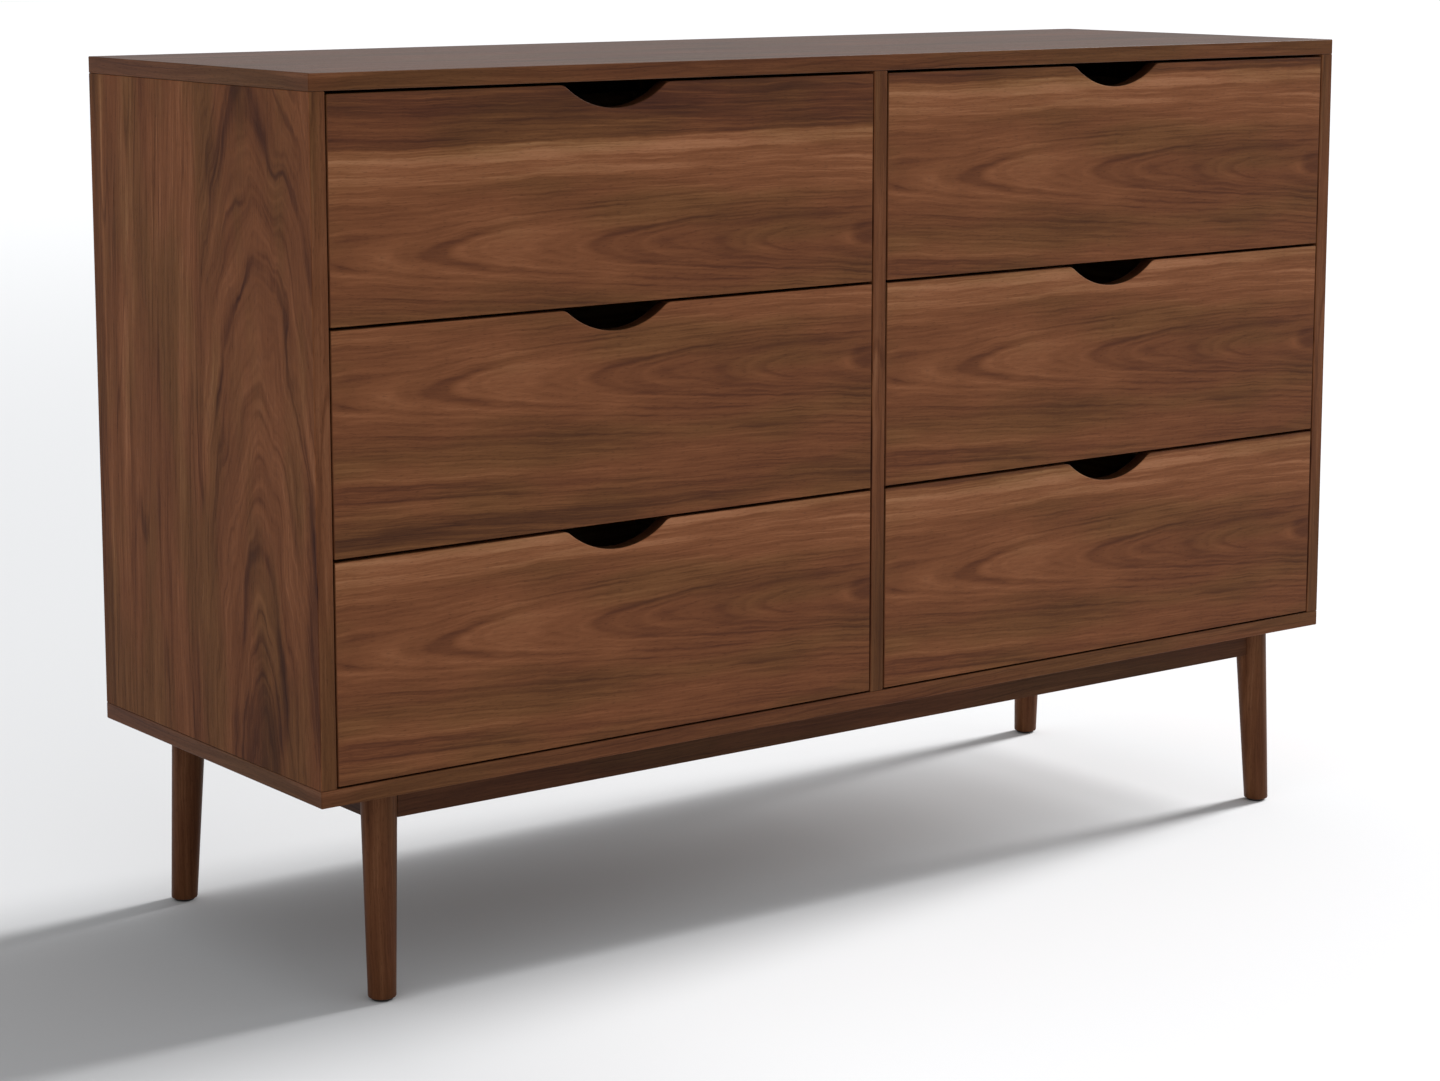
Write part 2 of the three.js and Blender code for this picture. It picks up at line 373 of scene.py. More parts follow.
def distance_to_heart(tree, noise_at, grain, leaf_across, cut, wave):
    along, _, under = grain
    heart, lean, depth, rise, flat = cut
    side = times(tree, minus(tree, leaf_across, times_plus(tree, along, lean, heart)), flat)
    low = sum_of(tree, "ADD", times_plus(tree, along, -rise, depth), under)
    low = offset_by(tree, low, noise_at(*SWELLINGS), wave * SWELLING_SHARE)
    squares = sum_of(tree, "ADD", times(tree, side, side), times(tree, low, low))
    return sum_of(tree, "SQRT", squares)


# %% [markdown]
# ## The figure of walnut
# Broad bands, fine ring lines and hair lines are noises along the distance to the heart. Streaks
# and patches lie in the sheet itself. All of them are added up to one number, how light the wood
# is.

# %% The lightness of the wood
# Each ring noise: lines per metre, drift per metre along the grain, offset, detail, roughness.
BROAD = (48.0, 2.2, 3.0, 1.0)
LINES = (95.0, 3.0, 7.0, 0.0)
FINE = (260.0, 5.0, 11.0, 1.5, 0.6)
HAIR = (1000.0, 14.0, 23.0, 1.0)
STREAKS = (26.0, 380.0, 60.0, 37.0, 2.0)
PATCHES = (13.0, 26.0, 8.0, 43.0, 2.0)
FADES = (5.0, 16.0, 4.0, 13.0, 1.0)
BROAD_AMOUNT, FINE_AMOUNT, HAIR_AMOUNT = 0.60, 0.56, 0.42
STREAK_AMOUNT, PATCH_AMOUNT = 0.28, 0.14
BODY = 0.57
PENCIL_WIDTH = 0.040


def ring_noise(tree, grain, ring, seed, per_metre, drift, offset, detail, roughness=0.5):
    along, across, _ = grain
    return noise_of(tree, join_xyz(
        tree,
        times(tree, ring, per_metre),
        times_plus(tree, along, drift, seed + offset),
        times(tree, across, drift),
    ), detail=detail, roughness=roughness)


def wood_light(tree, noise_at, grain, ring, pencil, seed):
    """The lightness, and the fine and the patchy noise, which other steps use again."""
    broad, lines, fine, hair = (
        ring_noise(tree, grain, ring, seed, *kind) for kind in (BROAD, LINES, FINE, HAIR)
    )
    streaks, patches, fades = (noise_at(*kind) for kind in (STREAKS, PATCHES, FADES))

    # A dark line wherever the second noise crosses its middle, stronger in some places.
    gap = sum_of(tree, "ABSOLUTE", minus(tree, lines, 0.5))
    line = times(tree, spread(tree, gap, 0.0, PENCIL_WIDTH, 1.0, 0.0),
                 spread(tree, fades, 0.42, 0.60, 0.0, 1.0))
    light = times_plus(tree, broad, BROAD_AMOUNT, BODY - BROAD_AMOUNT / 2)
    for noise, amount in ((fine, FINE_AMOUNT), (hair, HAIR_AMOUNT),
                          (streaks, STREAK_AMOUNT), (patches, PATCH_AMOUNT)):
        light = offset_by(tree, light, noise, amount)
    return times_plus(tree, line, -pencil, light), fine, patches


# %% [markdown]
# Three marks are listed one by one, because they belong to one leaf of veneer: dark late rings,
# knots, and stripes that run the length of the sheet.

# %% Late rings, knots and stripes
LATE_SHARPNESS = 1.6
KNOT_CROOKS = 1.6


def add_late_rings(tree, light, ring, patches, late):
    for radius, half, amount in late:
        away = sum_of(tree, "ABSOLUTE", minus(tree, ring, radius))
        edge = spread(tree, away, 0.0, half, 1.0, 0.0, False)
        here = times(tree, sum_of(tree, "POWER", edge, LATE_SHARPNESS),
                     spread(tree, patches, 0.34, 0.62, 1.0, 0.35))
        light = times_plus(tree, here, amount, light)
    return light


def add_knots(tree, light, along, leaf_across, patches, knots):
    for at, height, half_length, half_width, amount in knots:
        far = times(tree, minus(tree, along, at), 1.0 / half_length)
        off = times(tree, minus(tree, leaf_across, height), 1.0 / half_width)
        away = sum_of(tree, "ADD", times(tree, far, far), times(tree, off, off))
        away = offset_by(tree, away, patches, KNOT_CROOKS)
        light = times_plus(tree, spread(tree, away, 0.0, 1.0, 1.0, 0.0), amount, light)
    return light


def add_bands(tree, light, bent, bands):
    for start, end, soft, amount in bands:
        inside = times(tree, spread(tree, bent, start - soft, start + soft),
                       spread(tree, bent, end - soft, end + soft, 1.0, 0.0))
        light = times_plus(tree, inside, amount, light)
    return light


# %% [markdown]
# ## The colour of walnut
# The lightness picks a colour between dark late wood and the pale lines. A slow change of tint
# from red to olive keeps a large face from looking printed. Pores are dark dashes a few
# millimetres long and a tenth of that across. The finish is a thin satin lacquer, which lies over
# the pores without filling them.

# %% Walnut material
WALNUT = [
    (0.02, srgb(66, 37, 29)), (0.30, srgb(99, 58, 38)), (0.54, srgb(121, 74, 47)),
    (0.76, srgb(139, 87, 57)), (0.98, srgb(166, 113, 80)),
]
OLIVE = (0.86, 0.975, 0.88, 1)
PORE_COLOUR = (*srgb(50, 28, 20), 1)
MOTTLES = (4.0, 17.0, 1.0, 29.0, 2.0)
PORES = (130.0, 1900.0, 1900.0, 0.0, 1.0)
PORE_DARKNESS = 0.36
SATIN = 0.42


def walnut_colour(tree, noise_at, light, pore, tone):
    colour = ramp_of(tree, light, WALNUT)
    olive = mix_colours(tree, 1.0, colour, OLIVE, "MULTIPLY")
    mottles = spread(tree, noise_at(*MOTTLES), 0.42, 0.62, 0.0, 0.9)
    colour = mix_colours(tree, mottles, colour, olive)
    colour = mix_colours(tree, times(tree, pore, PORE_DARKNESS), colour, PORE_COLOUR)
    # The tone darkens the whole sheet. It is a stain on the edges, rails and legs, and painted
    # shade on the top and bottom boards.
    if tone == 1.0:
        return colour
    return mix_colours(tree, 1.0, colour, (tone, tone * 0.985, tone * 0.96, 1), "MULTIPLY")


def walnut(name, heart, depth, rise, lean=0.0, flat=1.0, wave=0.006, bands=(), late=(), knots=(),
           seam=None, pencil=0.22, tone=1.0, lacquer=0.06, seed=0.0):
    """heart: where the log's heart lies across the sheet. lean: how much that drifts per metre.
    depth: how deep the heart is at the start of the sheet. rise: how much it comes up per metre.
    flat: under 1, the rings are ovals that lie flat in the sheet. wave: how far the rings wave
    sideways. bands: stripes over the figure (from, to, softness, amount). late: dark rings
    (distance to the heart, half width, amount). knots: (along, across, half length, half width,
    amount). seam: where a straight-grained leaf of veneer is joined on. pencil: how dark the thin
    lines between rings are. tone: how light the stain is, and on the top and bottom boards it is
    painted shade. lacquer: how much it mirrors."""
    material, tree, shader, grain = grain_material(name)
    noise_at = grain_noise(tree, grain, seed)
    bent, leaf_across = bend_across(tree, noise_at, grain[1], wave, seam)
    cut = (heart, lean, depth, rise, flat)
    ring = distance_to_heart(tree, noise_at, grain, leaf_across, cut, wave)
    light, fine, patches = wood_light(tree, noise_at, grain, ring, pencil, seed)
    light = add_late_rings(tree, light, ring, patches, late)
    light = add_knots(tree, light, grain[0], leaf_across, patches, knots)
    light = add_bands(tree, light, bent, bands)

    pore = spread(tree, noise_at(*PORES), 0.58, 0.72)
    link(tree, walnut_colour(tree, noise_at, light, pore, tone), shader.inputs["Base Color"])
    gloss = offset_by(tree, SATIN, fine, -0.10)
    link(tree, times_plus(tree, pore, 0.12, gloss), shader.inputs["Roughness"])
    skin = times_plus(tree, fine, 0.35, times(tree, pore, -1.0))
    add_relief(tree, shader, skin, strength=0.22, distance=0.0004)
    shader.inputs["IOR"].default_value = 1.5
    shader.inputs["Specular IOR Level"].default_value = lacquer
    return material


# %% [markdown]
# ## Six kinds of walnut
# The fronts show long flat arches that lie on their side, with a dark stripe along the top of the
# first leaf. The sides have a straight leaf joined to one with tall arches. The rails, the legs
# and the edges are plain, and stained darker.

# %% Walnut for each job
front_walnut = walnut(
    "front_walnut", heart=0.130, depth=0.050, rise=0.045, lean=0.035, wave=0.007,
    bands=[(-0.05, 0.046, 0.0012, -0.28), (0.046, 0.088, 0.012, 0.12),
           (0.050, 0.060, 0.004, 0.16), (0.073, 0.077, 0.002, 0.12),
           (0.165, 0.300, 0.020, -0.08), (0.250, 0.262, 0.004, -0.16)],
    late=[(0.0508, 0.0015, -0.29), (0.0462, 0.0018, -0.23), (0.0392, 0.0018, -0.17),
          (0.0620, 0.0014, -0.22), (0.1050, 0.0020, -0.22)],
    knots=[(0.569, 0.146, 0.024, 0.016, -0.26)],
    pencil=0.12, lacquer=0.05, seed=2.0,
)
side_walnut = walnut(
    "side_walnut", heart=0.302, depth=0.100, rise=0.13, flat=0.60, wave=0.030, seam=0.205,
    bands=[(-0.01, 0.018, 0.001, -0.22), (0.0205, 0.0225, 0.001, 0.2)],
    late=[(0.084, 0.0030, -0.38), (0.066, 0.0026, -0.36), (0.032, 0.0034, -0.40),
          (0.024, 0.0024, -0.34)],
    knots=[(0.56, 0.300, 0.090, 0.050, -0.30), (0.46, 0.392, 0.130, 0.020, -0.26)],
    lacquer=0.02, seed=9.0,
)
# The top's low tone is painted shade: it makes the sunlit top as dim as a top that gets little
# light.
painted_shade_top_walnut = walnut(
    "painted_shade_top_walnut", heart=0.20, depth=0.05, rise=0.02, tone=0.46, lacquer=0.3, seed=17.0,
)
edge_walnut = walnut("edge_walnut", heart=0.3, depth=0.05, rise=0.0, tone=0.69, seed=31.0)
rail_walnut = walnut("rail_walnut", heart=0.2, depth=0.05, rise=0.0, tone=0.34, seed=41.0)
leg_walnut = walnut("leg_walnut", heart=0.06, depth=0.03, rise=0.02, tone=0.54, seed=53.0)
print("walnut materials made")

# %% [markdown]
# ## The woods inside
# The drawer boxes, their bottoms and the runners are plain pale woods with a straight figure.
# Beech is known by its short dark flecks. Plywood is peeled off a turning log, so its face has
# wide, slow waves, and its edge shows the plies as stripes.

# %% Plain woods
PLAIN_WAVE = (2.6, 9.0, 9.0, 0.0, 2.0)
PLAIN_FLECKS = (300.0, 1500.0, 1500.0, 11.0, 1.0)
FLECK_COLOUR = (0.62, 0.55, 0.48, 1)


def plain_wood(name, dark, middle, pale, line_scale, wander, fleck, shine=0.55, seed=0.0):
    """line_scale: growth lines per metre. wander: how far the lines wave sideways, in metres.
    fleck: how strong the dark flecks are, from 0 to 1."""
    material, tree, shader, (along, across, under) = grain_material(name)
    noise_at = grain_noise(tree, (along, across, under), seed)
    bent = offset_by(tree, across, noise_at(*PLAIN_WAVE), wander)
    bent_noise_at = grain_noise(tree, (along, bent, under), seed)
    hair_scale = line_scale * 9.0
    lines = bent_noise_at(1.4, line_scale, line_scale, 3.0, 2.0)
    hair = bent_noise_at(14.0, hair_scale, hair_scale, 7.0, 1.0)
    light = offset_by(tree, lines, hair, 0.45)
    colour = ramp_of(tree, light, [(0.22, srgb(*dark)), (0.5, srgb(*middle)), (0.78, srgb(*pale))])
    spot = spread(tree, noise_at(*PLAIN_FLECKS), 0.60, 0.70)
    shade = mix_colours(tree, 1.0, colour, FLECK_COLOUR, "MULTIPLY")
    colour = mix_colours(tree, times(tree, spot, fleck), colour, shade)
    link(tree, colour, shader.inputs["Base Color"])
    link(tree, times_plus(tree, hair, 0.16, shine - 0.08), shader.inputs["Roughness"])
    skin = times_plus(tree, spot, -0.6, hair)
    add_relief(tree, shader, skin, strength=0.25, distance=0.0003)
    shader.inputs["Specular IOR Level"].default_value = 0.25
    return material


box_wood = plain_wood(
    "box_wood", (174, 138, 102), (201, 168, 128), (216, 187, 150),
    line_scale=190.0, wander=0.006, fleck=0.25,
)
end_wood = plain_wood(
    "end_wood", (150, 112, 76), (176, 140, 99), (192, 158, 118),
    line_scale=420.0, wander=0.001, fleck=0.7,
)
runner_beech = plain_wood(
    "runner_beech", (168, 122, 80), (188, 142, 97), (202, 160, 116),
    line_scale=320.0, wander=0.002, fleck=0.9, shine=0.42, seed=5.0,
)
birch_ply = plain_wood(
    "birch_ply", (184, 146, 100), (204, 168, 122), (218, 188, 146),
    line_scale=42.0, wander=0.060, fleck=0.15, shine=0.6, seed=8.0,
)
back_ply = plain_wood(
    "back_ply", (62, 40, 27), (84, 56, 38), (104, 73, 51),
    line_scale=48.0, wander=0.055, fleck=0.3, shine=0.62, seed=14.0,
)

# %% Edges of plywood
PLY = 0.00125
FIBRE_SCALE = (900.0, 3000.0)
FIBRE_COLOUR = (0.72, 0.66, 0.60, 1)


def ply_edge(name, pale, dark):
    """Stripes of plies across the edge."""
    material, tree, shader, (along, across, _) = grain_material(name)
    stripe = sum_of(tree, "PINGPONG", across, PLY)
    layer = spread(tree, stripe, PLY * 0.42, PLY * 0.58)
    colour = mix_colours(tree, layer, (*srgb(*pale), 1), (*srgb(*dark), 1))
    fibre = noise_of(tree, join_xyz(
        tree, times(tree, along, FIBRE_SCALE[0]), times(tree, across, FIBRE_SCALE[1]), 0.0,
    ))
    colour = mix_colours(tree, fibre, colour, FIBRE_COLOUR, "MULTIPLY")
    link(tree, colour, shader.inputs["Base Color"])
    link(tree, spread(tree, fibre, 0.2, 0.8, 0.6, 0.85), shader.inputs["Roughness"])
    return material


birch_edge = ply_edge("birch_edge", (206, 172, 126), (166, 124, 82))
back_edge = ply_edge("back_edge", (96, 68, 50), (60, 41, 30))
print("plain woods made")

# %% [markdown]
# ## Steel and nylon
# Screws and pins are zinc plated: a grey metal, a little cloudy. The glides under the feet are
# moulded nylon, which has a fine grained skin from its mould.

# %% Zinc and nylon
def speckled(name, first, second, metal, scale, rough, bump):
    """Two close colours mixed by a noise in metres, for plain metal or plastic."""
    material, tree, shader = new_material(name)
    place = tree.nodes.new("ShaderNodeTexCoord").outputs["Object"]
    cloud = tree.nodes.new("ShaderNodeTexNoise")
    link(tree, place, cloud.inputs["Vector"])
    cloud.inputs["Scale"].default_value = scale
    cloud.inputs["Detail"].default_value = 3.0
    link(tree, mix_colours(tree, cloud.outputs[0], (*first, 1), (*second, 1)),
         shader.inputs["Base Color"])
    link(tree, spread(tree, cloud.outputs[0], 0.2, 0.8, *rough), shader.inputs["Roughness"])
    add_relief(tree, shader, cloud.outputs[0], strength=bump, distance=0.0001)
    shader.inputs["Metallic"].default_value = metal
    return material


zinc = speckled(
    "zinc", (0.55, 0.54, 0.50), (0.70, 0.69, 0.66),
    metal=1.0, scale=900.0, rough=(0.28, 0.48), bump=0.2,
)
nylon = speckled(
    "nylon", (0.010, 0.009, 0.008), (0.020, 0.018, 0.016),
    metal=0.0, scale=2500.0, rough=(0.5, 0.65), bump=0.6,
)
print("zinc and nylon made")

# %% [markdown]
# ## Laying the grain
# The maker decides which way the grain runs on each face: along a board on its wide faces, and
# along the edge on the strips of veneer that cover its edges. So the attribute is written face by
# face, and each face also gets the material of its veneer.

# %% Lay the grain on a mesh
def lay_grain(piece, choose):
    """choose(normal, centre) returns (along, across, under, origin, material): three unit vectors,
    the point where the sheet starts, and the wood of that face."""
    mesh = piece.data
    layer = mesh.attributes.new("grain", "FLOAT_VECTOR", "CORNER")
    mesh.materials.clear()
    slots = {}
    for face in mesh.polygons:
        along, across, under, origin, wood = choose(face.normal, face.center)
        if wood.name not in slots:
            slots[wood.name] = len(mesh.materials)
            mesh.materials.append(wood)
        face.material_index = slots[wood.name]
        for corner in face.loop_indices:
            point = mesh.vertices[mesh.loops[corner].vertex_index].co - origin
            layer.data[corner].vector = (point.dot(along), point.dot(across), point.dot(under))


AXES = (Vector((1, 0, 0)), Vector((0, 1, 0)), Vector((0, 0, 1)))
RIGHT, BACK, UP = AXES
DOWN = -UP


def main_axis(normal):
    return max(range(3), key=lambda i: abs(normal[i]))


EDGE_LEAF = 0.07


def board_grain(low, high, wide_axis, along, across, face_wood, band_wood):
    """Grain for a veneered board: face_wood on its two wide faces, band_wood along its edges."""
    start = Vector(tuple(
        low[i] if along[i] + across[i] > 0 else high[i] for i in range(3)
    ))

    def choose(normal, centre):
        axis = main_axis(normal)
        if axis == wide_axis:
            return along, across, AXES[axis], start, face_wood
        other = [i for i in range(3) if i not in (axis, wide_axis)][0]
        edge_start = start - AXES[wide_axis] * EDGE_LEAF
        return AXES[other], AXES[wide_axis], AXES[axis], edge_start, band_wood
    return choose


# %% [markdown]
# ## Boards
# A board starts as a cube at the size of its frame node. Rebates and grooves are cut with a
# boolean, as a router would, and a bevel then takes the sharpness off every arris. The bevel
# hardens its normals, so the wide faces stay flat in the light and only the arrises turn.

# %% Board tools
ARRIS = 0.0009


def named(piece, name):
    piece.name = name
    piece.data.name = name
    return piece


def cube_between(low, high, name):
    deselect()
    size = Vector(high) - Vector(low)
    bpy.ops.mesh.primitive_cube_add(size=1, location=(Vector(high) + Vector(low)) / 2, scale=size)
    bpy.ops.object.transform_apply(location=True, rotation=True, scale=True)
    return named(bpy.context.object, name)


def make_active(piece):
    deselect()
    piece.select_set(True)
    bpy.context.view_layer.objects.active = piece


def apply_modifier(piece, kind, **settings):
    make_active(piece)
    modifier = piece.modifiers.new(kind.lower(), kind)
    for key, value in settings.items():
        setattr(modifier, key, value)
    bpy.ops.object.modifier_apply(modifier=modifier.name)


def smooth_by_angle(piece, degrees=35):
    make_active(piece)
    bpy.ops.object.shade_smooth_by_angle(angle=math.radians(degrees))


def carve(piece, cutter):
    """Takes the cutter's shape away from the piece, and throws the cutter away."""
    apply_modifier(piece, "BOOLEAN", operation="DIFFERENCE", solver="EXACT", object=cutter)
    bpy.data.objects.remove(cutter)


def soften(piece, radius=ARRIS, steps=3):
    for polygon in piece.data.polygons:
        polygon.use_smooth = True
    apply_modifier(
        piece, "BEVEL", width=radius, segments=steps, limit_method="ANGLE",
        angle_limit=math.radians(40), harden_normals=True, use_clamp_overlap=True,
    )


def drill(piece, cutter):
    """Holes in a piece that is already softened. Weighted normals keep its flats flat."""
    carve(piece, cutter)
    smooth_by_angle(piece, 42)
    apply_modifier(piece, "WEIGHTED_NORMAL", keep_sharp=True, weight=100)


def finish_piece(piece, body, node):
    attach(piece, body)
    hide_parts(node)


# %% [markdown]
# ## Turned pieces and copies
# A leg, a screw and a glide are all turned: a ring of points is pulled along and made wider or
# narrower at each step. What repeats is modelled once. Its copies have meshes of their own, which
# are moved instead of the object, so that every object stays at the origin.

# %% Rings, and copies
def close_up(piece):
    """Turns every face outwards and leaves edit mode."""
    bpy.ops.mesh.select_all(action="SELECT")
    bpy.ops.mesh.normals_make_consistent(inside=False)
    bpy.ops.object.mode_set(mode="OBJECT")
    return piece


def pull_rings(rings, sides, name):
    """A turned solid, from its first ring to its last. rings: (centre, radius)."""
    at, radius = rings[0]
    deselect()
    bpy.ops.mesh.primitive_circle_add(vertices=sides, radius=radius, fill_type="NGON", location=at)
    bpy.ops.object.transform_apply(location=True, rotation=True, scale=True)
    piece = named(bpy.context.object, name)
    bpy.ops.object.mode_set(mode="EDIT")
    bpy.ops.mesh.select_all(action="SELECT")
    for centre, next_radius in rings[1:]:
        bpy.ops.mesh.extrude_region_move(TRANSFORM_OT_translate={"value": centre - at})
        bpy.ops.transform.resize(value=(next_radius / radius, next_radius / radius, 1))
        at, radius = centre, next_radius
    return close_up(piece)


def copy_to(master, move, name):
    """A copy with its own mesh, moved in its mesh so that the object stays at the origin."""
    piece = master.copy()
    piece.data = master.data.copy()
    named(piece, name)
    bpy.context.scene.collection.objects.link(piece)
    for vertex in piece.data.vertices:
        vertex.co += move
    return piece


# %% [markdown]
# ## Screws and pins
# A countersunk screw fills its own hole, so all that shows is a disc with a cross in it. One
# screw is turned up from rings and the cross is cut with two thin blocks. It is then copied to
# each place with its head turned outwards, and the copies of one job are joined into one piece.
# The same places drill the wood.

# %% One screw, one pin, and the tools to set them
# Profiles from the inner end outwards, as (height, radius). Height 0 is the face of the wood.
SCREW = ((-0.0080, 0.0004), (-0.0062, 0.0015), (-0.0024, 0.0016), (-0.0003, 0.0034), (0.0, 0.0032))
SINK = ((-0.0030, 0.0017), (-0.0024, 0.0018), (-0.0001, 0.0037), (0.0010, 0.0037))
PIN = ((-0.0040, 0.0003), (-0.0034, 0.0007), (-0.0001, 0.0007), (0.0, 0.0017), (0.0002, 0.0018),
       (0.00035, 0.0013), (0.00038, 0.0005))
CROSS_REACH = 0.0021
CROSS_WIDTH = 0.0004
CROSS_DEPTH = 0.0012


def turned_up(profile, sides, name):
    return pull_rings([(Vector((0, 0, z)), radius) for z, radius in profile], sides, name)


def cross_cut(piece, reach, width, depth):
    for x, y in ((reach, width), (width, reach)):
        carve(piece, cube_between((-x, -y, -depth), (x, y, 0.001), "cross"))


def set_in(master, places, name):
    """Copies of the master at each (point, outward), joined into one piece."""
    copies = []
    for point, outward in places:
        turn = UP.rotation_difference(outward).to_matrix()
        piece = copy_to(master, Vector(), name)
        for vertex in piece.data.vertices:
            vertex.co = turn @ vertex.co + Vector(point)
        copies.append(piece)
    deselect()
    for piece in copies:
        piece.select_set(True)
    bpy.context.view_layer.objects.active = copies[0]
    bpy.ops.object.join()
    return named(copies[0], name)


def dress(piece, material):
    piece.data.materials.clear()
    piece.data.materials.append(material)


screw = turned_up(SCREW, 24, "screw")
cross_cut(screw, CROSS_REACH, CROSS_WIDTH, CROSS_DEPTH)
smooth_by_angle(screw)
dress(screw, zinc)
pin = turned_up(PIN, 16, "pin")
smooth_by_angle(pin, 50)
dress(pin, zinc)
sink = turned_up(SINK, 24, "sink")
print("screw", len(screw.data.polygons), "faces, pin", len(pin.data.polygons), "faces")

# %% [markdown]
# ## The case
# The top and the bottom cover the ends of the sides. Their grain runs across the room and the
# grain of the sides runs up. A rebate round the rear takes the back, which is a sheet of plywood.

# %% The four outer boards and the divider
PAST = 0.002
REBATE_PLAY = 0.0005
back_low, back_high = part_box("back_panel")


def case_board(node, wide_axis, along, across, wood, rebate=True):
    low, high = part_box(node)
    board = cube_between(low, high, node + "_board")
    if rebate:
        play = Vector((REBATE_PLAY, 0, REBATE_PLAY))
        hole_high = Vector((back_high.x, high.y + PAST, back_high.z))
        carve(board, cube_between(back_low - play, hole_high + play, "rebate"))
    soften(board)
    lay_grain(board, board_grain(low, high, wide_axis, along, across, wood, edge_walnut))
    finish_piece(board, "case", node)


case_board("top_panel", 2, RIGHT, BACK, painted_shade_top_walnut)
case_board("bottom_panel", 2, RIGHT, BACK, painted_shade_top_walnut)
case_board("side_panel_left", 0, DOWN, -BACK, side_walnut)
case_board("side_panel_right", 0, DOWN, -BACK, side_walnut)
case_board("centre_divider", 0, DOWN, -BACK, side_walnut, rebate=False)
print("case boards done")

# %% [markdown]
# ## Drawer fronts
# A front is drawn as an outline and given its thickness. The finger notch is one wide arc that
# meets the top edge in two rounded shoulders. Spinning a single vertex about a point draws a true
# arc, so the outline is walked round with straight extrusions and spins.

# %% Draw the front's outline
NOTCH_RADIUS = 0.080
NOTCH_DEPTH = 0.021
SHOULDER = 0.012
ARC_STEPS = 28
SHOULDER_STEPS = 7


def draw_line(move):
    """Pulls what is selected along: a point draws a line, and a face makes a solid."""
    bpy.ops.mesh.extrude_region_move(TRANSFORM_OT_translate={"value": move})


def draw_arc(centre, angle, steps):
    bpy.ops.mesh.spin(steps=steps, angle=angle, center=centre, axis=(0, 1, 0))


def start_at(point, name):
    """A mesh of one vertex, selected in edit mode."""
    deselect()
    bpy.ops.mesh.primitive_plane_add(size=0.01, location=(0, 0, 0))
    piece = named(bpy.context.object, name)
    bpy.ops.object.mode_set(mode="EDIT")
    bpy.ops.mesh.merge(type="CENTER")
    bpy.ops.object.mode_set(mode="OBJECT")
    piece.data.vertices[0].co = point
    piece.data.vertices[0].select = True
    bpy.ops.object.mode_set(mode="EDIT")
    return piece


MERGE = 0.00005


def notched_front(low, high, name):
    width = high.x - low.x
    height = high.z - low.z
    middle = (low.x + high.x) / 2
    heart_z = high.z + NOTCH_RADIUS - NOTCH_DEPTH
    rise = heart_z - (high.z - SHOULDER)
    reach = math.sqrt((NOTCH_RADIUS + SHOULDER) ** 2 - rise ** 2)
    lean = math.atan2(rise, reach)
    turn = math.pi / 2 - lean

    front = start_at((low.x, low.y, low.z), name)
    draw_line((0, 0, height))
    draw_line((middle - reach - low.x, 0, 0))
    draw_arc((middle - reach, low.y, high.z - SHOULDER), -turn, SHOULDER_STEPS)
    draw_arc((middle, low.y, heart_z), 2 * turn, ARC_STEPS)
    draw_arc((middle + reach, low.y, high.z - SHOULDER), -turn, SHOULDER_STEPS)
    draw_line((high.x - middle - reach, 0, 0))
    draw_line((0, 0, -height))
    draw_line((-width, 0, 0))
    bpy.ops.mesh.select_all(action="SELECT")
    bpy.ops.mesh.remove_doubles(threshold=MERGE)
    bpy.ops.mesh.edge_face_add()
    draw_line((0, high.y - low.y, 0))
    return close_up(front)


front_low, front_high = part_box("top_left_front")
front_master = notched_front(front_low, front_high, "front")
print("front outline:", len(front_master.data.vertices), "vertices,",
      [round(v, 4) for v in front_master.dimensions])

# %% [markdown]
# The bottom of the drawer slides into a groove on the inside of the front. The six fronts were
# cut from leaves of the same flitch, so they show the same figure, each leaf cut a little higher
# or lower than the next. One front is modelled and copied, and each copy lays its own grain.

# %% Six fronts from one
BAYS = ("left", "right")
ROWS = ("top", "middle", "bottom")
DRAWERS = [(row, bay) for row in ROWS for bay in BAYS]
# How far down the leaf each front starts, in metres.
LEAF_START = {
    ("top", "left"): 0.000, ("middle", "left"): 0.078, ("bottom", "left"): 0.053,
    ("top", "right"): 0.037, ("middle", "right"): 0.050, ("bottom", "right"): 0.044,
}

GROOVE_PLAY = 0.0005
FRONT_ARRIS = 0.0011
EDGE_START = 0.2

panel_low, panel_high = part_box("top_left_bottom")
carve(front_master, cube_between(
    (panel_low.x - GROOVE_PLAY, panel_low.y - GROOVE_PLAY, panel_low.z),
    (panel_high.x + GROOVE_PLAY, front_high.y + PAST, panel_high.z), "groove",
))
soften(front_master, radius=FRONT_ARRIS)


def front_grain(low, high, leaf_start):
    """The faces show the leaf, the notch is bare dark wood, and the edges are banded."""
    sheet_top = Vector((low.x, low.y, high.z + leaf_start))
    edge_start = Vector((low.x, low.y, high.z + EDGE_START))
    middle = (low.x + high.x) / 2

    def choose(normal, centre):
        axis = main_axis(normal)
        if axis == 1:
            return RIGHT, DOWN, BACK, sheet_top, front_walnut
        in_notch = centre.z < high.z - ARRIS and abs(centre.x - middle) < NOTCH_RADIUS
        if in_notch and normal.z > -0.2:
            return BACK, RIGHT, AXES[axis], edge_start, rail_walnut
        along = UP if axis == 0 else RIGHT
        return along, BACK, AXES[axis], edge_start, edge_walnut
    return choose


for (row, bay), leaf_start in LEAF_START.items():
    node = f"{row}_{bay}_front"
    low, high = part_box(node)
    front = copy_to(front_master, low - front_low, node + "_panel")
    lay_grain(front, front_grain(low, high, leaf_start))
    finish_piece(front, f"{row}_{bay}_drawer", node)
bpy.data.objects.remove(front_master)
print("six fronts")

